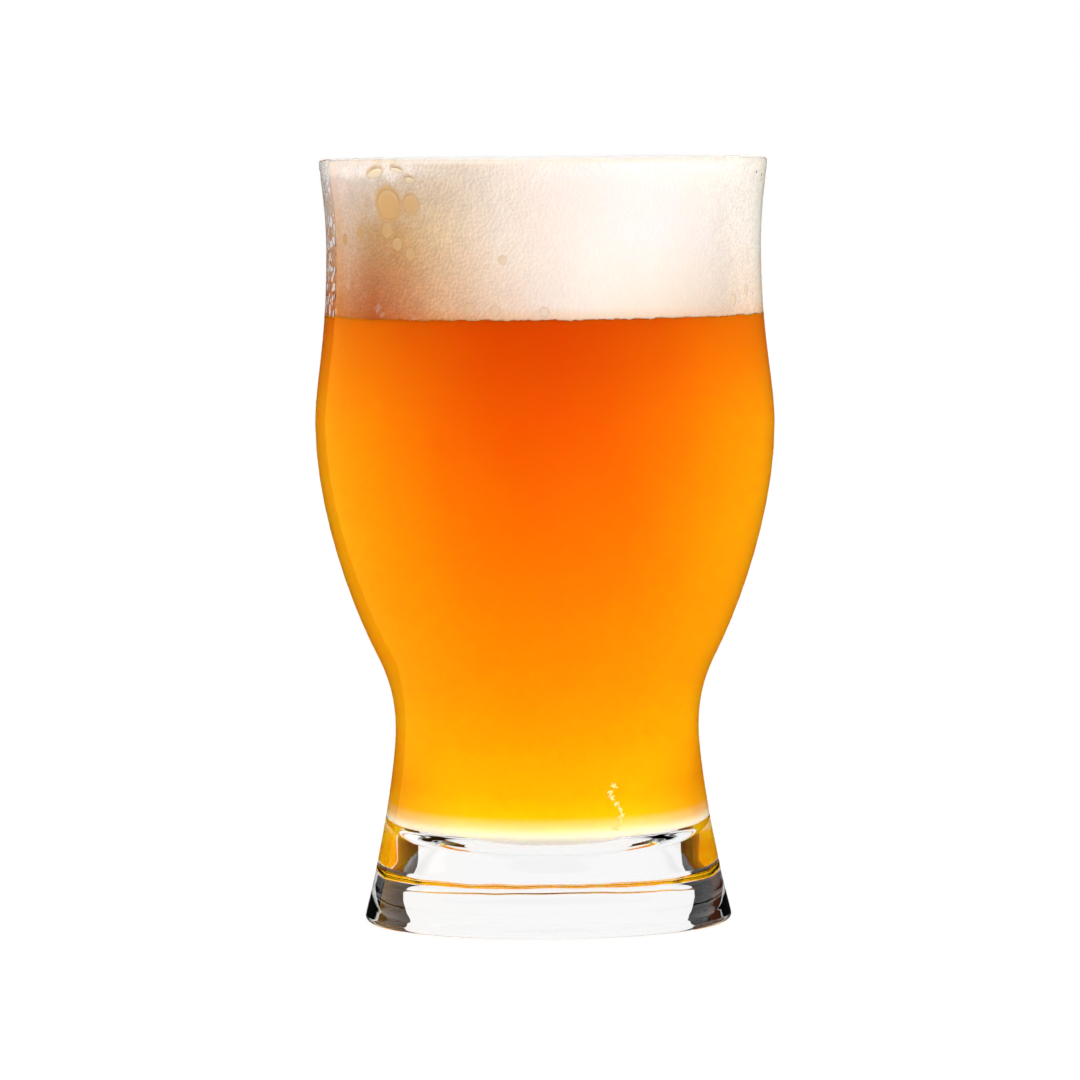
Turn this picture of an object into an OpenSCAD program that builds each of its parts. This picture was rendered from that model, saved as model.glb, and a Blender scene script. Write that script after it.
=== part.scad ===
// Tulip beer glass with a poured beer.
// One piece of glass with a heavy base, and in it the beer, its foam head, the large bubbles
// that show in the head, and a trail of small bubbles rising through the beer.
// Millimetres, +Z up, origin at the centre of the foot on the table.

/* [Outside of the glass] */
// Height of the glass
glass_h = 146; // [132:1:160]
// Diameter at the rim
rim_d = 85.6; // [80:0.1:92]
// Lean of the wall at the rim, in degrees from upright
rim_lean = 5; // [0:1:12]
// Diameter at the throat, the slight narrowing under the rim
throat_d = 83.1; // [78:0.1:88]
// Depth of the throat below the rim
throat_drop = 18; // [12:1:24]
// Diameter at the bulge
bulge_d = 87.9; // [82:0.1:96]
// Height of the bulge above the table
bulge_z = 95.3; // [86:0.1:104]
// Diameter where the taper is steepest
taper_d = 65; // [62:0.1:68]
// Height of that place above the table
taper_z = 51; // [48:0.1:56]
// Lean of the wall there, in degrees from upright
taper_lean = 27; // [20:1:32]
// Diameter at the waist
waist_d = 58.2; // [54:0.1:61]
// Height of the waist above the table
waist_z = 37; // [32:0.1:40]
// Diameter of the foot at its widest
foot_d = 70.2; // [64:0.1:78]
// Lean of the foot's flare, in degrees from upright
foot_lean = 14; // [8:1:20]
// Radius of the foot's lower edge
foot_edge_r = 1.2; // [0.6:0.1:3]

/* [Wall and base] */
// Wall at the rim, whose lip is fully round
rim_wall = 1.8; // [1.2:0.1:2.6]
// Wall at the throat
throat_wall = 2; // [1.4:0.1:3]
// Wall at the bulge
bulge_wall = 2.2; // [1.4:0.1:3.5]
// Wall on the taper, square to the glass
taper_wall = 2.8; // [1.8:0.1:4.5]
// Wall at the waist
waist_wall = 4.4; // [2.5:0.1:7]
// Solid glass under the middle of the beer
base_h = 13.2; // [9:0.1:18]
// Diameter of the cavity just above the round corner of its floor
well_d = 45; // [41:0.5:47]
// Radius of that corner
floor_corner_r = 6.5; // [4:0.5:10]
// Diameter of the push-up under the base
punt_d = 52; // [40:0.5:60]
// Height of the push-up
punt_h = 1.2; // [0.5:0.1:3]

/* [Filling] */
// Gap from the rim down to the edge of the foam
head_gap = 1; // [1:0.1:12]
// Depth of the foam at the glass
foam_h = 28.9; // [20:0.1:40]
// Rise of the foam's crown in the middle
crown_h = 0.8; // [0.4:0.1:4]

/* [Bubbles] */
// Diameter of the largest bubble in the head
bubble_d = 5.8; // [4:0.1:7]
// Film of foam between a large bubble and the glass
bubble_film = 0.2; // [0.1:0.05:0.6]
// Diameter of the small bubbles in the trail
trail_bubble_d = 0.9; // [0.6:0.05:1.4]
// Length of the trail
trail_h = 9; // [6:0.5:14]
// Direction of the trail from the middle of the front, in degrees to the right
trail_turn = 31; // [0:1:40]

/* [Hidden] */
$fn = 96;
steps = 10;

lip_r = rim_wall / cos(rim_lean) / 2;
lip_z = glass_h - lip_r;
foam_z = glass_h - head_gap;
beer_z = foam_z - foam_h;

// Each station of the outline is [radius, height, lean, wall]; a positive lean draws in on the way down.
STATIONS = [
    [rim_d / 2, lip_z, rim_lean, rim_wall],
    [throat_d / 2, glass_h - throat_drop, 0, throat_wall],
    [bulge_d / 2, bulge_z, 0, bulge_wall],
    [taper_d / 2, taper_z, taper_lean, taper_wall],
    [waist_d / 2, waist_z, 0, waist_wall]
];
// How far each stretch between stations holds its direction, as shares of its drop: at its top, at its foot
PULLS = [[0.33, 0.5], [0.52, 0.25], [0.38, 0.2], [0.33, 0.37]];
FOOT_PULL = [0.12, 0.5];
// The same for the cavity's wall between the waist and the corner of its floor
WELL_PULL = [0.4, 0.4];

// Large bubbles: [degrees from the front, to the right; depth as a share of foam_h; share of bubble_d]
BUBBLES = [
    [-49, 0.07, 0.55],
    [-41, 0.05, 0.35],
    [-37, 0.11, 0.3],
    [-45, 0.265, 1],
    [-37.2, 0.265, 0.62],
    [-46, 0.43, 0.5],
    [-42.5, 0.52, 0.42],
    [-38, 0.58, 0.4],
    [-57, 0.45, 0.4],
    [-66, 0.5, 0.35],
    [-20, 0.92, 0.3],
    [-13, 0.94, 0.3],
    [0, 0.95, 0.26],
    [-11, 0.62, 0.26],
    [60, 0.9, 0.32],
    [68, 0.84, 0.3]
];
// The trail: its lowest point above the floor, the sway of its wave in degrees, and the bubbles' spacing
TRAIL_FLOOR_GAP = 6;
TRAIL_SWAY = 3;
TRAIL_PITCH = 1.3;

function bezier(a, b, c, d, t) =
    pow(1 - t, 3) * a + 3 * pow(1 - t, 2) * t * b + 3 * (1 - t) * t * t * c + t * t * t * d;

function curve(a, b, c, d) = [for (i = [0 : steps]) bezier(a, b, c, d, i / steps)];

function arc(centre, r, from, to) =
    [for (i = [0 : steps]) let (a = from + (to - from) * i / steps) centre + r * [cos(a), sin(a)]];

// The last point is left to the stretch that follows
function open_end(points) = [for (i = [0 : len(points) - 2]) points[i]];

function reversed(points) = [for (i = [len(points) - 1 : -1 : 0]) points[i]];

function joined(lists) = [for (list = lists) each list];

// A curved stretch from station p down to station q, each [radius, height, lean]
function stretch(p, q, pull) =
    let (drop = p[1] - q[1], top = pull[0] * drop, foot = pull[1] * drop)
    curve(
        [p[0], p[1]],
        [p[0] - top * tan(p[2]), p[1] - top],
        [q[0] + foot * tan(q[2]), q[1] + foot],
        [q[0], q[1]]
    );

// The wall's line from the rim to the waist, set in from the outside by a share of the wall
function wall_line(share) =
    let (set = [for (s = STATIONS) [s[0] - share * s[3] / cos(s[2]), s[1], s[2]]])
    joined([for (i = [0 : len(PULLS) - 1]) open_end(stretch(set[i], set[i + 1], PULLS[i]))]);

waist_r = waist_d / 2;
waist_in_r = waist_r - waist_wall;
foot_in_r = foot_d / 2 - foot_edge_r;
foot_top = [
    foot_in_r + foot_edge_r * cos(foot_lean),
    foot_edge_r + foot_edge_r * sin(foot_lean),
    -foot_lean
];

foot_line = stretch([waist_r, waist_z, 0], foot_top, FOOT_PULL);

corner_z = base_h + floor_corner_r;
floor_line = concat(
    open_end(stretch([waist_in_r, waist_z, 0], [well_d / 2, corner_z, 0], WELL_PULL)),
    arc([well_d / 2 - floor_corner_r, corner_z], floor_corner_r, 0, -90),
    [[0, base_h]]
);

inside_line = concat(wall_line(1), floor_line);
INSIDE_BY_HEIGHT = [for (p = reversed(inside_line)) [p[1], p[0]]];

function inside_r(z) = lookup(z, INSIDE_BY_HEIGHT);

// Radius of the ball whose cap is the push-up, or the foam's crown
function cap_r(width, rise) = (width * width / 4 + rise * rise) / (2 * rise);

// The whole section of the glass as one closed line: over the lip, down the outside, under, and up the inside
module glass_section() {
    lip = arc([rim_d / 2 - lip_r, lip_z], lip_r, 180, 0);
    foot_edge = arc([foot_in_r, foot_edge_r], foot_edge_r, foot_lean, -90);
    punt_r = cap_r(punt_d, punt_h);
    punt = arc([0, punt_h - punt_r], punt_r, acos(punt_d / 2 / punt_r), 90);
    polygon(concat(
        open_end(lip), wall_line(0), open_end(foot_line), foot_edge, punt, open_end(reversed(inside_line))
    ));
}

// The beer, from its level down the wall to the middle of the floor
module beer_section() {
    wall = [for (p = inside_line) if (p[1] < beer_z) p];
    polygon(concat([[0, beer_z], [inside_r(beer_z), beer_z]], wall));
}

// The foam, from the middle of its crown to the wall and down to the beer
module foam_section() {
    edge_r = inside_r(foam_z);
    crown_r = cap_r(2 * edge_r, crown_h);
    crown = arc([0, foam_z + crown_h - crown_r], crown_r, 90, acos(edge_r / crown_r));
    wall = [for (p = inside_line) if (p[1] < foam_z && p[1] > beer_z) p];
    polygon(concat(crown, wall, [[inside_r(beer_z), beer_z], [0, beer_z]]));
}

module bubble_balls() {
    for (b = BUBBLES) {
        d = b[2] * bubble_d;
        z = foam_z - b[1] * foam_h;
        rotate(b[0] - 90) translate([inside_r(z) - bubble_film - d / 2, 0, z]) sphere(d = d);
    }
}

module trail_balls() {
    for (h = [0 : TRAIL_PITCH * trail_bubble_d : trail_h]) {
        z = base_h + TRAIL_FLOOR_GAP + h;
        r = inside_r(z) - trail_bubble_d;
        turn = trail_turn + TRAIL_SWAY * sin(360 * h / trail_h);
        rotate(turn - 90) translate([r, 0, z]) sphere(d = trail_bubble_d, $fn = 24);
    }
}

module glass() {
    color([0.88, 0.93, 0.95, 0.4]) rotate_extrude() glass_section();
}

module beer() {
    color([0.96, 0.5, 0.04]) difference() {
        rotate_extrude() beer_section();
        trail_balls();
    }
}

module foam_head() {
    color([0.98, 0.93, 0.86]) difference() {
        rotate_extrude() foam_section();
        bubble_balls();
    }
}

module foam_bubbles() {
    color([0.85, 0.66, 0.42]) bubble_balls();
}

module bubble_trail() {
    color([1, 0.9, 0.62]) trail_balls();
}

glass();
beer();
foam_head();
foam_bubbles();
bubble_trail();
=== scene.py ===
"""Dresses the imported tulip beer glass.

Clear glass, hazy beer, a foam head with its large bubbles, and a trail of small bubbles in the beer.
"""

import math

import bmesh
import bpy
import numpy as np
from mathutils import Matrix, Vector, noise


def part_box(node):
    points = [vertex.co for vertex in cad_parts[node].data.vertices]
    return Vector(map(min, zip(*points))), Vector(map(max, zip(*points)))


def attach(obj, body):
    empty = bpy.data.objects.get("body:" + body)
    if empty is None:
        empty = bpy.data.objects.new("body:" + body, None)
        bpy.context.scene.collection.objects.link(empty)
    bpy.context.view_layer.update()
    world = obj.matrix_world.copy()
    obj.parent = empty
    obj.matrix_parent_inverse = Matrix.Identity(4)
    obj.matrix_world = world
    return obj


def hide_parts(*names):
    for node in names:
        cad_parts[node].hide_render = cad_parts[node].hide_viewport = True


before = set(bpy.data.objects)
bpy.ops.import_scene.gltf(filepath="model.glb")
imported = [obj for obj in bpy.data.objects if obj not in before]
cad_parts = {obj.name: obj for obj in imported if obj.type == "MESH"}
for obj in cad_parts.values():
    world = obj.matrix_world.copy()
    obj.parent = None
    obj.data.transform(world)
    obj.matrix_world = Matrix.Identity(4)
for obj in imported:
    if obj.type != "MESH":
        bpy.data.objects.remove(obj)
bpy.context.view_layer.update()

# Sizes from the frame, in metres
MM = 0.001
# Points nearer than this lie in one place
TINY = 1e-6
GLASS_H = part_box("glass")[1].z
BEER_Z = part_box("beer")[1].z
FLOOR_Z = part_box("beer")[0].z
FOAM_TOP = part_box("foam_head")[1].z

# Where the glass stands in the photograph, in pixels of its 1080 by 1080 frame
PHOTO = 1080
RIM_ROW = 157.3
TABLE_ROW = 921
AXIS_COLUMN = 545.8
ROLL = math.radians(0.43)
# The camera stands a little above the rim
CAMERA_AWAY = 1.35
CAMERA_ABOVE_RIM = 11 * MM

# Beer and foam wet the glass, so their skins lie this deep in its wall and no air shows between
BEER_WET = 0.06 * MM
FOAM_WET = 0.09 * MM
# Over the floor's round corner the beer stands off the glass, which then mirrors the light from below
BEER_OFF = 0.04 * MM
CLING_LOW = 3.5 * MM
CLING_HIGH = 5 * MM

# How finely the turned pieces, the foam and each bubble are divided
TURNS = 192
FOAM_TURNS = 1080
BEAD_TURNS = 24
BEAD_STEPS = 14


# Shapes taken from the frame

def welded(node):
    """A CAD node's mesh with its split points joined again."""
    shape = bmesh.new()
    shape.from_mesh(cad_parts[node].data)
    bmesh.ops.remove_doubles(shape, verts=shape.verts, dist=2 * TINY)
    return shape


def meridian(node):
    """(radius, height) points of a turned node, from the middle underneath to the middle inside."""
    shape = welded(node)
    seam = {v for v in shape.verts if abs(v.co.y) < TINY and v.co.x > -TINY}
    here = min((v for v in seam if v.co.x < TINY), key=lambda v: v.co.z)
    walked = []
    while here:
        walked.append((max(here.co.x, 0), here.co.z))
        seam.discard(here)
        here = next((e.other_vert(here) for e in here.link_edges if e.other_vert(here) in seam), None)
    shape.free()
    return np.array(walked)


def balls(node):
    """Centre and radius of each separate ball in a node, from low to high."""
    shape = welded(node)
    left = set(shape.verts)
    found = []
    while left:
        reach = [left.pop()]
        island = []
        while reach:
            here = reach.pop()
            island.append(here.co[:])
            fresh = [e.other_vert(here) for e in here.link_edges if e.other_vert(here) in left]
            left.difference_update(fresh)
            reach += fresh
        low, high = np.min(island, axis=0), np.max(island, axis=0)
        found.append((tuple((low + high) / 2), (high[2] - low[2]) / 2))
    shape.free()
    return sorted(found, key=lambda ball: (ball[0][2], ball[0][0]))


def cubic(points, per_span):
    """A natural cubic curve through the points, with per_span samples between neighbours."""
    count = len(points)
    steps = np.hypot(*np.diff(points, axis=0).T)
    system = np.eye(count)
    wanted = np.zeros((count, 2))
    for i in range(1, count - 1):
        system[i, i - 1:i + 2] = steps[i - 1], 2 * (steps[i - 1] + steps[i]), steps[i]
        wanted[i] = 6 * ((points[i + 1] - points[i]) / steps[i] - (points[i] - points[i - 1]) / steps[i - 1])
    bend = np.linalg.solve(system, wanted)
    curve = []
    for i, step in enumerate(steps):
        for t in np.arange(per_span) / per_span:
            u = 1 - t
            straight = u * points[i] + t * points[i + 1]
            curve.append(straight + step ** 2 / 6 * ((u ** 3 - u) * bend[i] + (t ** 3 - t) * bend[i + 1]))
    return np.array(curve + [points[-1]])


def smooth(points, per_span):
    """The outline made smooth; its level stretches, such as the floor, stay straight."""
    level = np.abs(np.diff(points[:, 1])) < TINY
    runs = np.split(points, np.flatnonzero(level) + 1)
    return np.maximum(np.vstack([cubic(run, per_span) for run in runs]), 0)


outline = smooth(meridian("glass"), 3)
rim = int(np.argmax(outline[:, 1]))
inside = outline[rim:][::-1]


def inside_r(z):
    """Radius of the glass's inside at a height."""
    return np.interp(z, inside[:, 1], inside[:, 0])


def edge_height(node):
    """Height up to which a filling touches the glass."""
    touching = 0.05 * MM
    points = np.array([v.co[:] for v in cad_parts[node].data.vertices])
    gap = np.abs(np.hypot(points[:, 0], points[:, 1]) - inside_r(points[:, 2]))
    return points[gap < touching, 2].max()


FOAM_EDGE = edge_height("foam_head")
FOAM_R = inside_r(FOAM_EDGE)
# Round its edge the foam clings a little higher
FOAM_RIM = FOAM_EDGE + 0.55 * MM
BEER_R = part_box("beer")[1].x


# Making pieces

def turned(line, turns):
    """Rings of a (radius, height) line turned about the axis."""
    angles = np.arange(turns) * 2 * math.pi / turns
    return [np.stack([r * np.cos(angles), r * np.sin(angles), np.full(turns, z)], axis=1) for r, z in line]


def skin(rings, first, last):
    """Vertices and faces over rings of equal count, closed at each end by a fan to a point."""
    turns = len(rings[0])
    vertices = np.vstack([*rings, first, last])
    here = np.arange(turns)
    after = np.roll(here, -1)
    bands = [
        np.stack([low + here, low + after, low + turns + after, low + turns + here], axis=1)
        for low in range(0, (len(rings) - 1) * turns, turns)
    ]
    end = (len(rings) - 1) * turns
    start_tip, end_tip = len(vertices) - 2, len(vertices) - 1
    faces = np.vstack(bands).tolist()
    faces += [(start_tip, b, a) for a, b in zip(here.tolist(), after.tolist())]
    faces += [(end_tip, end + a, end + b) for a, b in zip(here.tolist(), after.tolist())]
    return vertices, faces


def gathered(shapes):
    """Several (vertices, faces) shapes as one."""
    vertices, faces = [], []
    for points, sides in shapes:
        start = len(vertices)
        vertices += points.tolist()
        faces += [[start + i for i in side] for side in sides]
    return vertices, faces


def piece(name, vertices, faces, material, node):
    """A smooth piece that rides on the object's one body and stands for a CAD node."""
    mesh = bpy.data.meshes.new(name)
    mesh.from_pydata(np.asarray(vertices).tolist(), [], faces)
    mesh.polygons.foreach_set("use_smooth", [True] * len(mesh.polygons))
    mesh.update()
    made = bpy.data.objects.new(name, mesh)
    bpy.context.scene.collection.objects.link(made)
    mesh.materials.append(material)
    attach(made, "root")
    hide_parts(node)
    return made


def point_values(made, name, values):
    """Stores one number per vertex for the material to read."""
    layer = made.data.attributes.new(name, "FLOAT", "POINT")
    layer.data.foreach_set("value", np.asarray(values, dtype=np.float32))


def bead(turn, z, wide, tall, deep, proud, lean=0.0):
    """A flattened bubble bent along the glass, whose face lies this much outside the glass's inside.

    turn is its direction from the front, to the right; lean tips its long side.
    """
    around = np.linspace(0, 2 * math.pi, BEAD_TURNS, endpoint=False)
    rings = []
    for tip in np.linspace(0, math.pi, BEAD_STEPS)[1:-1]:
        u = wide * math.sin(tip) * np.cos(around)
        v = tall * math.sin(tip) * np.sin(around)
        across = u * math.cos(lean) - v * math.sin(lean)
        up = u * math.sin(lean) + v * math.cos(lean)
        rings.append((across, up, (1 - math.cos(tip)) / 2))

    def on_glass(across, up, sunk):
        heights = z + up
        r = inside_r(heights) + proud - 2 * deep * sunk ** 2
        angle = turn + across / inside_r(z)
        return np.stack([r * np.sin(angle), -r * np.cos(angle), heights], axis=-1)

    return skin([on_glass(*ring) for ring in rings], on_glass(0.0, 0.0, 0), on_glass(0.0, 0.0, 1))


# Making materials

def new_material(name):
    """A material, its node tree and its main shader."""
    made = bpy.data.materials.new(name)
    made.use_nodes = True
    return made, made.node_tree, made.node_tree.nodes["Principled BSDF"]


def add(tree, kind, values=(), **settings):
    """Adds a node. Each value is a socket with a number, a colour or another node's output."""
    made = tree.nodes.new("ShaderNode" + kind)
    for name, setting in settings.items():
        setattr(made, name, setting)
    for socket, value in values:
        if isinstance(value, bpy.types.NodeSocket):
            tree.links.new(value, made.inputs[socket])
        else:
            made.inputs[socket].default_value = value
    return made


def join(tree, output, node, socket):
    tree.links.new(output, node.inputs[socket])


def maths(tree, operation, a, b):
    return add(tree, "Math", [(0, a), (1, b)], operation=operation).outputs[0]


def place(tree):
    """Position in the object's own frame."""
    return add(tree, "TexCoord").outputs["Object"]


def stretched(tree, scale):
    """That position, scaled along each axis."""
    return add(tree, "Mapping", [("Vector", place(tree)), ("Scale", scale)]).outputs["Vector"]


def scaled(tree, value, source, target, kind="LINEAR"):
    """A value carried from one range to another."""
    return add(tree, "MapRange", [
        ("Value", value), ("From Min", source[0]), ("From Max", source[1]),
        ("To Min", target[0]), ("To Max", target[1]),
    ], interpolation_type=kind).outputs["Result"]


def along(tree, axis, low, high):
    """0 at one place on an axis, 1 at another."""
    value = add(tree, "SeparateXYZ", [(0, place(tree))]).outputs[axis]
    return scaled(tree, value, (low, high), (0, 1))


def ramp(tree, share, stops):
    """Colours along a share from 0 to 1."""
    made = add(tree, "ValToRGB", [(0, share)])
    band = made.color_ramp
    for position, colour in stops[2:]:
        band.elements.new(position)
    for element, (position, colour) in zip(band.elements, stops):
        element.position = position
        element.color = (*colour, 1)
    return made.outputs["Color"]


def mixed(tree, share, a, b, kind="MIX"):
    """Colour a where share is 0, b where it is 1."""
    made = add(tree, "Mix", [("Factor", share)], data_type="RGBA", blend_type=kind)
    for socket, value in ((6, a), (7, b)):
        if isinstance(value, bpy.types.NodeSocket):
            tree.links.new(value, made.inputs[socket])
        else:
            made.inputs[socket].default_value = (*value, 1)
    return made.outputs[2]


def noise_at(tree, spot, scale, detail=2):
    return add(tree, "TexNoise", [("Vector", spot), ("Scale", scale), ("Detail", detail)]).outputs["Fac"]


def bumped(tree, shader, relief, depth):
    """Gives the surface a fine relief of this depth."""
    bump = add(tree, "Bump", [("Height", relief), ("Distance", depth)])
    join(tree, bump.outputs["Normal"], shader, "Normal")


# Glass lets this share of the light from what wets it straight out, and throws this share back
GLASS_OUT = 0.62
GLASS_BACK = 0.39


def wet(*colour):
    """The colour that looks like this through the glass."""
    return tuple(c / (GLASS_OUT + GLASS_BACK * c) for c in colour)


def wet_stops(stops):
    """Colour stops as they look through the glass."""
    return [(position, wet(*colour)) for position, colour in stops]


def clear_glass():
    """Pressed glass with a faint ripple from the mould and a trace of haze."""
    made, tree, shader = new_material("clear_glass")
    shader.inputs["Base Color"].default_value = (1, 1, 1, 1)
    shader.inputs["IOR"].default_value = 1.5
    shader.inputs["Transmission Weight"].default_value = 1
    smudge = noise_at(tree, place(tree), 90, 4)
    join(tree, scaled(tree, smudge, (0.5, 0.8), (0, 0.02)), shader, "Roughness")
    ripple = noise_at(tree, stretched(tree, (1, 1, 1.6)), 110, 1)
    in_foot = along(tree, "Z", FLOOR_Z + 16 * MM, FLOOR_Z + 6 * MM)
    bumped(tree, shader, maths(tree, "MULTIPLY", ripple, in_foot), 0.05 * MM)
    return made


# The beer's colours from its floor (0) to its level (1), in the middle and at the sides. They hold painted
# light: deeper under the foam's shade, pale over the floor and golden at the sides, where more light comes
# through
BEER_MIDDLE = (
    (0.03, (0.99, 0.93, 0.75)),
    (0.047, (0.99, 0.88, 0.55)),
    (0.06, (0.99, 0.7, 0.2)),
    (0.08, (0.99, 0.46, 0.001)),
    (0.12, (0.99, 0.36, 0.0005)),
    (0.3, (0.97, 0.27, 0.0005)),
    (0.55, (0.9, 0.163, 0.0005)),
    (0.8, (0.74, 0.085, 0.0005)),
    (1, (0.58, 0.047, 0.0005)),
)
BEER_SIDES = (
    (0.03, (0.99, 0.93, 0.75)),
    (0.047, (0.99, 0.9, 0.6)),
    (0.06, (0.99, 0.75, 0.25)),
    (0.08, (0.99, 0.46, 0.01)),
    (0.12, (0.99, 0.38, 0.001)),
    (0.3, (0.97, 0.37, 0.001)),
    (0.6, (0.97, 0.37, 0.001)),
    (0.8, (0.93, 0.3, 0.001)),
    (1, (0.72, 0.14, 0.001)),
)


def painted_low_shade(tree):
    """1 low in the beer at the sides and behind, where painted shade makes it a little browner, else 0."""
    behind = along(tree, "Y", -18 * MM, -2 * MM)
    over_floor = along(tree, "Z", FLOOR_Z + 3.5 * MM, FLOOR_Z + 6.5 * MM)
    under_waist = along(tree, "Z", FLOOR_Z + 26 * MM, FLOOR_Z + 14 * MM)
    return maths(tree, "MULTIPLY", behind, maths(tree, "MULTIPLY", over_floor, under_waist))


def hazy_beer():
    """Deep orange under the foam, amber below, pale over the floor, and more golden towards the sides:
    painted light over the beer's own orange.
    """
    made, tree, shader = new_material("hazy_beer")
    up = along(tree, "Z", FLOOR_Z, BEER_Z)
    side = add(tree, "SeparateXYZ", [(0, place(tree))]).outputs["X"]
    offset = maths(tree, "DIVIDE", side, BEER_R)
    haze = scaled(tree, noise_at(tree, stretched(tree, (1, 1, 0.3)), 60, 3), (0.3, 0.7), (-0.04, 0.04))
    # Painted light: towards the sides the beer takes the paler, more golden colours
    share = maths(tree, "ADD", maths(tree, "MULTIPLY", offset, offset), haze)
    middle = ramp(tree, up, wet_stops(BEER_MIDDLE))
    sides = ramp(tree, up, wet_stops(BEER_SIDES))
    colour = mixed(tree, share, middle, sides)
    # Where the beer stands off the glass, less of its colour is lost on the way out
    loose = along(tree, "Z", FLOOR_Z + CLING_HIGH, FLOOR_Z + CLING_LOW)
    colour = mixed(tree, loose, colour, (0.68, 0.68, 0.68), "MULTIPLY")
    # Painted shade: low at the sides and behind the beer is made browner, as little light reaches it there
    join(tree, mixed(tree, painted_low_shade(tree), colour, (0.76, 0.55, 0.5), "MULTIPLY"), shader, "Base Color")
    shader.inputs["Subsurface Weight"].default_value = 1
    shader.inputs["Subsurface Radius"].default_value = (1, 0.3, 0.05)
    shader.inputs["Subsurface Scale"].default_value = 3 * MM
    shader.inputs["Roughness"].default_value = 0.1
    shader.inputs["IOR"].default_value = 1.34
    shader.inputs["Specular IOR Level"].default_value = 0
    return made


# Amber where large bubbles lie: partly the beer film's own colour, partly painted shade in their hollows
AMBER = (0.64, 0.39, 0.16)
# Foam cells per metre
CELL_SCALE = 1700


def cells(tree, side):
    """Distance from the middle of the nearest foam cell, read towards the light (1) or away (-1)."""
    towards_light = Vector((-0.1, 0, 0.1)) * MM
    spot = add(tree, "VectorMath", [(0, place(tree)), (1, side * towards_light)], operation="ADD").outputs[0]
    return add(tree, "TexVoronoi", [("Vector", spot), ("Scale", CELL_SCALE)]).outputs["Distance"]


# The foam's colours from left (0) to right (1): under the crown, half way up and at its foot. They hold
# painted shade: tan and darker at the left, a little darker near the right edge, as if lit from the right
FOAM_UPPER = (
    (0.03, (0.74, 0.66, 0.62)),
    (0.13, (0.71, 0.62, 0.55)),
    (0.2, (0.7, 0.59, 0.48)),
    (0.27, (0.7, 0.59, 0.47)),
    (0.4, (0.84, 0.75, 0.67)),
    (0.5, (0.9, 0.81, 0.76)),
    (0.7, (0.89, 0.86, 0.83)),
    (0.9, (0.9, 0.84, 0.79)),
    (0.98, (0.9, 0.84, 0.77)),
)
FOAM_MIDDLE = (
    (0.03, (0.66, 0.43, 0.28)),
    (0.06, (0.69, 0.54, 0.43)),
    (0.11, (0.57, 0.38, 0.205)),
    (0.17, (0.61, 0.385, 0.175)),
    (0.27, (0.77, 0.61, 0.42)),
    (0.4, (0.88, 0.78, 0.69)),
    (0.5, (0.92, 0.81, 0.74)),
    (0.62, (0.93, 0.87, 0.83)),
    (0.75, (0.92, 0.87, 0.85)),
    (0.9, (0.84, 0.78, 0.73)),
    (0.98, (1, 0.92, 0.84)),
)
FOAM_LOWER = (
    (0.03, (0.6, 0.24, 0.08)),
    (0.06, (0.58, 0.26, 0.12)),
    (0.12, (0.48, 0.15, 0.05)),
    (0.2, (0.62, 0.3, 0.14)),
    (0.27, (0.72, 0.48, 0.29)),
    (0.4, (0.82, 0.69, 0.56)),
    (0.5, (0.86, 0.79, 0.72)),
    (0.62, (0.9, 0.86, 0.79)),
    (0.75, (0.89, 0.82, 0.72)),
    (0.9, (0.76, 0.67, 0.58)),
    (0.98, (0.97, 0.82, 0.68)),
)
CREAM = (0.9, 0.84, 0.77)
# Mean brightness of the painted shading of the cells
FOAM_SHADE = 0.97


def on_crown(tree):
    """1 on the foam's crown, 0 on its side."""
    return along(tree, "Z", FOAM_EDGE - 0.1 * MM, FOAM_EDGE + 0.2 * MM)


def foam_colour(tree, across):
    """Painted shade, tan and darker at the front left and a little darker near the right edge, as if lit
    from the right; a painted warm glow over the beer; a white film under the rim; cream behind.
    """
    upper = ramp(tree, across, FOAM_UPPER)
    middle = ramp(tree, across, FOAM_MIDDLE)
    lower = ramp(tree, across, FOAM_LOWER)
    half_way = BEER_Z + 16 * MM
    colour = mixed(tree, along(tree, "Z", BEER_Z + 2.6 * MM, half_way), lower, middle)
    colour = mixed(tree, along(tree, "Z", half_way, FOAM_EDGE - 2.4 * MM), colour, upper)
    # Painted glow: just over the beer the foam is made warmer, as the beer's light shines up into it
    glow = maths(tree, "MULTIPLY", along(tree, "Z", BEER_Z + 2.2 * MM, BEER_Z - 0.2 * MM),
                 scaled(tree, across, (0.1, 0.7), (1, 0.55)))
    colour = mixed(tree, glow, colour, (1, 0.72, 0.45), "MULTIPLY")
    high_up = maths(tree, "ADD", along(tree, "Z", FOAM_EDGE - 3.4 * MM, FOAM_EDGE - 1.2 * MM),
                    scaled(tree, noise_at(tree, place(tree), 260), (0.3, 0.7), (-0.35, 0.35)))
    film = maths(tree, "MULTIPLY", scaled(tree, high_up, (0.2, 0.8), (0, 1)),
                 scaled(tree, across, (0.15, 0.32), (1, 0)))
    colour = mixed(tree, film, colour, (0.87, 0.8, 0.75))
    behind = along(tree, "Y", 0, 18 * MM)
    cream = maths(tree, "MAXIMUM", on_crown(tree), maths(tree, "MULTIPLY", behind, 0.85))
    return mixed(tree, cream, colour, CREAM)


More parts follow.
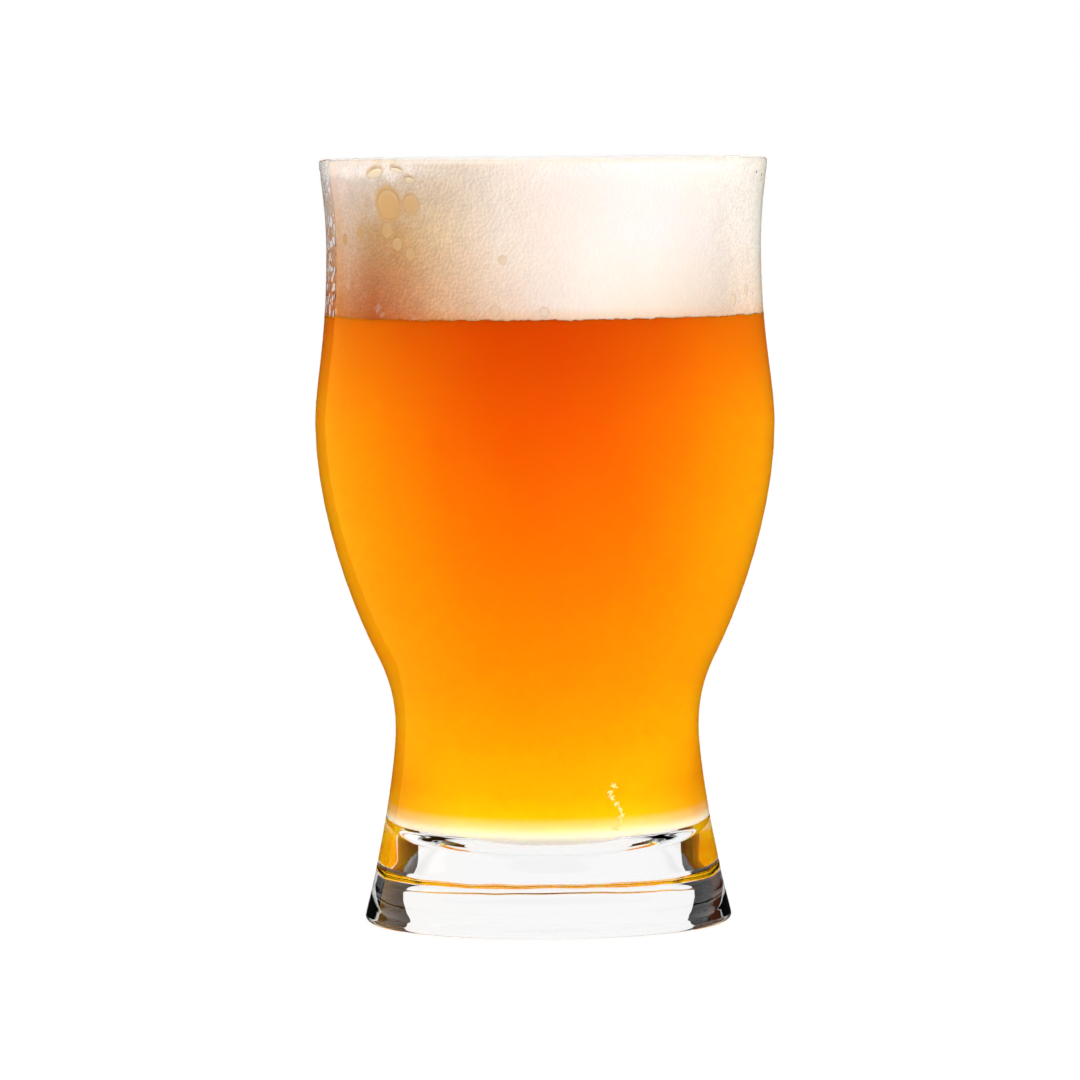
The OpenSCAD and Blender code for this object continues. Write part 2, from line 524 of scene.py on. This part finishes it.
def painted_cell_shade(tree, across):
    """Painted shade and highlight on the cells, as if lit from the upper left, with a faint random mottle:
    strong at both sides, faint between and on the crown.
    """
    relief = maths(tree, "SUBTRACT", cells(tree, 1), cells(tree, -1))
    cell_shade_and_mottle = maths(tree, "ADD", scaled(tree, relief, (-0.4, 0.4), (-0.13, 0.13)),
                  scaled(tree, noise_at(tree, place(tree), 420, 4), (0.3, 0.7), (-0.05, 0.05)))
    strong = maths(tree, "MAXIMUM", scaled(tree, across, (0.25, 0.6), (1, 0.12)),
                   scaled(tree, across, (0.82, 0.95), (0.1, 0.9)))
    strong = maths(tree, "MINIMUM", strong, scaled(tree, on_crown(tree), (0, 1), (1, 0.12)))
    shade = maths(tree, "ADD", maths(tree, "MULTIPLY", cell_shade_and_mottle, strong), FOAM_SHADE)
    return add(tree, "CombineColor", [(0, shade), (1, shade), (2, shade)]).outputs[0]


def foam():
    """Cream foam with fine cells and painted shade, and amber where large bubbles lie, partly their own
    colour and partly painted shade.
    """
    made, tree, shader = new_material("foam")
    across = along(tree, "X", -FOAM_R, FOAM_R)
    # The foam's colour carries its painted shade and the painted shading of its cells
    colour = mixed(tree, 1, foam_colour(tree, across), painted_cell_shade(tree, across), "MULTIPLY")
    amber = add(tree, "Attribute", attribute_name="pocket").outputs["Fac"]
    join(tree, mixed(tree, amber, colour, AMBER), shader, "Base Color")
    shader.inputs["Roughness"].default_value = 0.5
    shader.inputs["Specular IOR Level"].default_value = 0.2
    shader.inputs["Subsurface Weight"].default_value = 1
    shader.inputs["Subsurface Radius"].default_value = (1, 0.8, 0.6)
    shader.inputs["Subsurface Scale"].default_value = 0.8 * MM
    bumped(tree, shader, cells(tree, 0), 0.1 * MM)
    return made


def bubble_film():
    """Wet amber skin of a large bubble, partly its own colour and partly painted shade; small ones take more
    of the foam's colour, with its painted shade.
    """
    made, tree, shader = new_material("bubble_film")
    thick = noise_at(tree, place(tree), 260)
    amber = mixed(tree, thick, AMBER, (0.7, 0.46, 0.2))
    # Painted shade: the small bubbles are tan and darker towards the left, like the foam
    pale = ramp(tree, along(tree, "X", -FOAM_R, FOAM_R), (
        (0.12, (0.6, 0.38, 0.18)),
        (0.27, (0.75, 0.53, 0.33)),
        (0.42, (0.92, 0.77, 0.61)),
        (0.5, (0.97, 0.83, 0.7)),
        (0.95, (0.95, 0.85, 0.72)),
    ))
    size = add(tree, "Attribute", attribute_name="size").outputs["Fac"]
    colour = mixed(tree, size, pale, amber)
    frothy = along(tree, "Z", FOAM_EDGE - 5 * MM, FOAM_EDGE - 2 * MM)
    join(tree, mixed(tree, frothy, colour, (0.84, 0.72, 0.54)), shader, "Base Color")
    shader.inputs["Roughness"].default_value = 0.2
    shader.inputs["Subsurface Weight"].default_value = 0.6
    shader.inputs["Subsurface Radius"].default_value = (1, 0.7, 0.3)
    shader.inputs["Subsurface Scale"].default_value = 0.8 * MM
    return made


def trail_film():
    """Pale skin of the small rising bubbles."""
    made, tree, shader = new_material("trail_film")
    tint = noise_at(tree, place(tree), 900)
    join(tree, mixed(tree, tint, wet(0.98, 0.6, 0.06), wet(0.98, 0.75, 0.25)), shader, "Base Color")
    shader.inputs["Roughness"].default_value = 0.2
    return made


# The pieces

def glass():
    rings = turned(outline[1:-1], TURNS)
    vertices, faces = skin(rings, (0, 0, outline[0, 1]), (0, 0, outline[-1, 1]))
    made = piece("tulip_glass", vertices, faces, clear_glass(), "glass")


def set_out(line, by):
    """A (radius, height) line moved square to itself, away from the axis, by one amount for each point."""
    slope = np.gradient(line, axis=0)
    across = np.stack([slope[:, 1], -slope[:, 0]], axis=1)
    return line + (by / np.hypot(*across.T))[:, None] * across


def beer():
    under = inside[(inside[:, 1] < BEER_Z) & (inside[:, 0] > 0.1 * MM)]
    wall = np.vstack([under, [inside_r(BEER_Z), BEER_Z]])
    by = np.interp(wall[:, 1] - FLOOR_Z, (CLING_LOW, CLING_HIGH), (-BEER_OFF, BEER_WET))
    rings = turned(set_out(wall, by), TURNS)
    vertices, faces = skin(rings, (0, 0, FLOOR_Z + BEER_OFF), (0, 0, BEER_Z))
    made = piece("beer_fill", vertices, faces, hazy_beer(), "beer")


SEED = 7
FOAM_ROWS = 92
CROWN_RINGS = 110
SMALL_BUBBLES = 1500
CROWN_BUBBLES = 1600
# The crown's skin lies this much lower than the foam that clings to the wall
CROWN_DIP = 0.35 * MM
# Up to this far round from the front, in radians, the foam's cells lie flat against the glass
PRESSED_FLAT = 1.27
# Two small bubbles in five lie about this far round, where the photograph shows a frothy left edge
LEFT_EDGE = -1.5
LEFT_SPREAD = 0.12
# How deep a large bubble presses into the foam, and how many fine bubbles go with each one of the trail
POCKET_DEEP = 0.8 * MM
FINE_BUBBLES = 5
foam_turn = np.arange(FOAM_TURNS) * 2 * math.pi / FOAM_TURNS
foam_rise = np.linspace(0, 1, FOAM_ROWS)


def turn_of(centre):
    """Direction of a point from the front, to the right."""
    return math.atan2(centre[0], -centre[1])


def oval(turn, z, wide, tall, lean=0.0):
    """Squared distance over the foam's side from a place, as a share of an oval there."""
    u = ((foam_turn - turn + math.pi) % (2 * math.pi) - math.pi) * FOAM_R
    v = BEER_Z + foam_rise * (FOAM_EDGE - BEER_Z) - z
    a = u[None, :] * math.cos(lean) + v[:, None] * math.sin(lean)
    b = v[:, None] * math.cos(lean) - u[None, :] * math.sin(lean)
    return (a / wide) ** 2 + (b / tall) ** 2


def bubble_shapes():
    """Place and shape of each large bubble: wide where they crowd under the rim, tall below."""
    shapes = []
    for number, (centre, r) in enumerate(balls("foam_bubbles")):
        low_down = min((FOAM_EDGE - centre[2]) / (5 * MM), 1)
        wide = r * (1.9 - 0.75 * low_down)
        tall = r * (0.4 + 0.75 * low_down)
        lean = math.radians(12) * (-1) ** number
        lift = 0.3 * MM * (1 - low_down)
        shapes.append((turn_of(centre), centre[2] + lift, wide, tall, lean))
    return shapes


def bubble_sizes():
    """Size of each large bubble as a share of the largest."""
    radii = np.array([r for centre, r in balls("foam_bubbles")])
    return radii / radii.max()


def foam_side(chance):
    """Depth of the hollows in the foam's side, and how amber they are."""
    hollow = np.zeros((FOAM_ROWS, FOAM_TURNS))
    amber = np.zeros_like(hollow)
    for count in range(SMALL_BUBBLES):
        near_left = count % 5 < 2
        turn = chance.normal(LEFT_EDGE, LEFT_SPREAD) if near_left else chance.uniform(-math.pi, math.pi)
        z = BEER_Z + (FOAM_EDGE - BEER_Z) * chance.uniform()
        r = (0.4 + 0.6 * chance.uniform() ** 4) * MM * (0.6 if turn > 0 else 1)
        deep = (0.06 if abs(turn) < PRESSED_FLAT else 0.3) * r
        hollow = np.maximum(hollow, deep * np.clip(1 - oval(turn, z, r, r), 0, 1))
    # Round each large bubble the amber is partly painted shade in its hollow
    for shape, size in zip(bubble_shapes(), bubble_sizes()):
        far = oval(*shape)
        hollow = np.maximum(hollow, POCKET_DEEP * np.clip(0.8 - far, 0, 1))
        amber = np.maximum(amber, (0.3 + 0.7 * size) * np.clip((1.4 - far) / 0.8, 0, 1))
    return hollow, amber


def ragged(turn):
    """How far the foam's lower edge strays."""
    at = Vector((math.cos(turn), math.sin(turn), 0))
    waves = ((0.25 * MM, 14), (0.22 * MM, 50), (0.15 * MM, 130))
    return sum(height * noise.noise(at * often) for height, often in waves)


def foam_crown(chance):
    """Rings over the top: a low dome of bubbles."""
    reach = np.linspace(1, 0, CROWN_RINGS + 1)[:-1]
    x = FOAM_R * reach[:, None] * np.sin(foam_turn)
    y = -FOAM_R * reach[:, None] * np.cos(foam_turn)
    dome = np.zeros_like(x)
    for count in range(CROWN_BUBBLES):
        turn = chance.uniform(-math.pi, math.pi)
        far = FOAM_R * math.sqrt(chance.uniform())
        r = (0.6 + 1.6 * chance.uniform() ** 4) * MM
        away = (x - far * math.sin(turn)) ** 2 + (y + far * math.cos(turn)) ** 2
        dome = np.maximum(dome, 0.25 * r * np.sqrt(np.clip(1 - away / r ** 2, 0, 1)))
    from_wall = np.clip((1 - reach[:, None]) / 0.04, 0, 1)
    z = FOAM_RIM + 0.15 * MM * (1 - reach[:, None] ** 2) + from_wall * (dome - CROWN_DIP)
    return list(np.stack([x, y, z], axis=2))


def foam_head():
    """The head's side against the glass and its crown, with hollows where bubbles lie."""
    chance = np.random.default_rng(SEED)
    hollow, amber = foam_side(chance)
    low = BEER_Z + np.array([ragged(turn) for turn in foam_turn])
    rings = []
    for rise, pressed in zip(foam_rise, hollow):
        z = low + rise * (FOAM_RIM - low)
        r = inside_r(z) + FOAM_WET - pressed
        rings.append(np.stack([r * np.sin(foam_turn), -r * np.cos(foam_turn), z], axis=1))
    crown = foam_crown(chance)
    vertices, faces = skin(rings + crown[1:], (0, 0, BEER_Z), (0, 0, FOAM_TOP))
    made = piece("foam_crown", vertices, faces, foam(), "foam_head")
    point_values(made, "pocket", np.concatenate([amber.ravel(), np.zeros(len(vertices) - amber.size)]))


def large_bubbles():
    shapes = [
        bead(turn, z, wide, tall, 0.25 * wide, FOAM_WET / 2, lean)
        for turn, z, wide, tall, lean in bubble_shapes()
    ]
    made = piece("large_bubbles", *gathered(shapes), bubble_film(), "foam_bubbles")
    point_values(made, "size", np.repeat(bubble_sizes(), len(shapes[0][0])))


def rising_bubbles():
    """The trail's bubbles against the glass, with finer ones between them."""
    chance = np.random.default_rng(SEED + 1)
    shapes = []
    for centre, r in balls("bubble_trail"):
        turn = turn_of(centre)
        shapes.append(bead(turn, centre[2], 0.8 * r, r, 0.5 * r, BEER_WET + 0.1 * MM))
        for fine in range(FINE_BUBBLES):
            small = r * chance.uniform(0.25, 0.6)
            beside = turn + chance.normal(0, 0.6 * MM) / BEER_R
            height = centre[2] + chance.uniform(-r, r) * 1.3
            shapes.append(bead(beside, height, small, small, small, BEER_WET + 0.08 * MM))
    made = piece("rising_bubbles", *gathered(shapes), trail_film(), "bubble_trail")


glass()
beer()
foam_head()
large_bubbles()
rising_bubbles()


# Stage and light

def softened(tree):
    """1 for light on its way from foam, beer or floor, else 0."""
    return maths(tree, "MINIMUM", add(tree, "LightPath").outputs["Diffuse Depth"], 1)


def ray(tree, kind):
    """1 for one kind of ray, else 0."""
    return add(tree, "LightPath").outputs[kind]


def either(tree, share, a, b):
    """Number a where share is 0, b where it is 1."""
    return add(tree, "Mix", [("Factor", share), (2, a), (3, b)]).outputs[0]


def stage_mesh(name, vertices, faces, material):
    """A floor or card, which is no part of the object."""
    mesh = bpy.data.meshes.new(name)
    mesh.from_pydata(vertices, [], faces)
    mesh.materials.append(material)
    made = bpy.data.objects.new(name, mesh)
    bpy.context.scene.collection.objects.link(made)
    return made


def card_material(name, colour, fade=None):
    """A card that shows this light in the clear glass and is not there for the soft light on the drink.

    With a fade, its light grows from none at the first place along Y to full at the second.
    """
    made, tree, shader = new_material(name)
    glow = add(tree, "Emission", [("Color", (*colour, 1))])
    if fade:
        join(tree, along(tree, "Y", *fade), glow, "Strength")
    gone = add(tree, "BsdfTransparent")
    shown = add(tree, "MixShader", [(0, softened(tree)), (1, glow.outputs[0]), (2, gone.outputs[0])])
    join(tree, shown.outputs[0], tree.nodes["Material Output"], "Surface")
    return made


CARD_STEPS = 24


def bent_card(name, material, turn, height, away, mirrored):
    """An upright strip bent round the glass, seen mirrored in it or else through it.

    turn is degrees from straight behind, to the right. What lies below the floor is its mirror image there.
    """
    angles = np.radians(np.linspace(*turn, CARD_STEPS))
    points = [(away * math.sin(a), away * math.cos(a), z) for z in height for a in angles]
    n = len(angles)
    made = stage_mesh(name, points, [(i, i + 1, n + i + 1, n + i) for i in range(n - 1)], material)
    made.visible_camera = False
    made.visible_diffuse = False
    made.visible_shadow = False
    made.visible_glossy = mirrored
    made.visible_transmission = not mirrored


# The floor's own light and its colour to the eye, which make white together,
# and its colour for the soft light
FLOOR_GLOW = 0.84
FLOOR_SHADE = 0.2
FLOOR_PALE = 0.85


def pale_floor():
    """White to the eye, with the shadow on it; the clear glass shows what lies beyond it instead."""
    made, tree, shader = new_material("pale_floor")
    soft = softened(tree)
    through = ray(tree, "Is Transmission Ray")
    join(tree, either(tree, soft, FLOOR_SHADE, FLOOR_PALE), shader, "Base Color")
    shader.inputs["Specular IOR Level"].default_value = 0
    shader.inputs["Emission Color"].default_value = (1, 1, 1, 1)
    join(tree, either(tree, soft, FLOOR_GLOW, through), shader, "Emission Strength")
    shown = maths(tree, "MAXIMUM", ray(tree, "Is Camera Ray"), soft)
    open_floor = add(tree, "BsdfTransparent")
    surface = add(tree, "MixShader", [(0, shown), (1, open_floor.outputs[0]), (2, shader.outputs[0])])
    join(tree, surface.outputs[0], tree.nodes["Material Output"], "Surface")
    return made


FLOOR_SIZE = 4
# The floor lies a hair under the foot
UNDER = -0.2 * MM
corners = [(x * FLOOR_SIZE, y * FLOOR_SIZE, UNDER) for x, y in ((-1, -1), (1, -1), (1, 1), (-1, 1))]
stage_mesh("floor", corners, [(0, 1, 2, 3)], pale_floor())

SOFTBOX_AWAY = 0.12

white = card_material("white_card", (1, 1, 1))
warm = card_material("warm_card", (0.8, 0.38, 0.04), (-SOFTBOX_AWAY, SOFTBOX_AWAY / 2))
black = card_material("black_card", (0.006, 0.006, 0.007))
brown = card_material("brown_card", (0.07, 0.02, 0.008))
bent_card("back_strip", white, (-14, 14), (-4, 4), 0.7, True)
bent_card("left_softbox", warm, (-175, -57), (-0.5, 0.3), SOFTBOX_AWAY, True)
bent_card("right_flag", black, (36, 62), (-0.09, 0.2), 0.4, False)
bent_card("right_flag_image", black, (38, 60), (-0.3, -0.09), 0.4, False)
bent_card("left_flag", black, (-50, -36.5), (-0.09, 0.2), 0.4, False)
bent_card("left_flag_image", black, (-50, -40), (-0.3, -0.09), 0.4, False)
bent_card("warm_flag", brown, (-66, -50), (-0.3, 0.2), 0.4, False)


# Strength of the studio's light as the clear glass shows it, seen through and mirrored, and on the drink
SEEN_THROUGH = 0.98
SEEN_MIRRORED = 0.01
SOFT_LIGHT = 1
# The glass round the drink turns light away, so more is sent through it
SOFT_LIGHT_THROUGH = 2.36


def studio_world():
    """White to the eye, dark where the glass mirrors it, and an even light on the drink."""
    world = bpy.data.worlds.new("studio")
    bpy.context.scene.world = world
    world.use_nodes = True
    tree = world.node_tree
    through = ray(tree, "Is Transmission Ray")
    seen = either(tree, ray(tree, "Is Camera Ray"), either(tree, through, SEEN_MIRRORED, SEEN_THROUGH), 1)
    soft = either(tree, through, SOFT_LIGHT, SOFT_LIGHT_THROUGH)
    join(tree, either(tree, softened(tree), seen, soft), tree.nodes["Background"], "Strength")
    tree.nodes["Background"].inputs["Color"].default_value = (1, 1, 1, 1)


def lamp(name, spot, size, power):
    """A square lamp that faces the middle of the glass."""
    light = bpy.data.lights.new(name, "AREA")
    light.size = size
    light.energy = power
    made = bpy.data.objects.new(name, light)
    made.location = spot
    made.rotation_euler = (Vector((0, 0, GLASS_H / 2)) - made.location).to_track_quat("-Z", "Y").to_euler()
    made.visible_camera = False
    made.visible_glossy = False
    bpy.context.scene.collection.objects.link(made)


studio_world()
lamp("key", (0.9, -0.35, 0.6), 1.2, 3)


# Camera

def camera():
    """Sees the glass where the photograph has it."""
    scale = GLASS_H / (TABLE_ROW - RIM_ROW)
    middle = PHOTO / 2
    aim = Vector(((middle - AXIS_COLUMN) * scale, 0, (TABLE_ROW - middle) * scale))
    stand = Vector((aim.x, -CAMERA_AWAY, GLASS_H + CAMERA_ABOVE_RIM))
    look = aim - stand
    lens = bpy.data.cameras.new("camera")
    lens.angle = 2 * math.atan(middle * scale / look.length)
    made = bpy.data.objects.new("camera", lens)
    facing = look.to_track_quat("-Z", "Y").to_matrix().to_4x4()
    made.matrix_world = Matrix.Translation(stand) @ facing @ Matrix.Rotation(-ROLL, 4, "Z")
    bpy.context.scene.collection.objects.link(made)
    bpy.context.scene.camera = made


camera()
bpy.context.scene.view_settings.view_transform = "Standard"
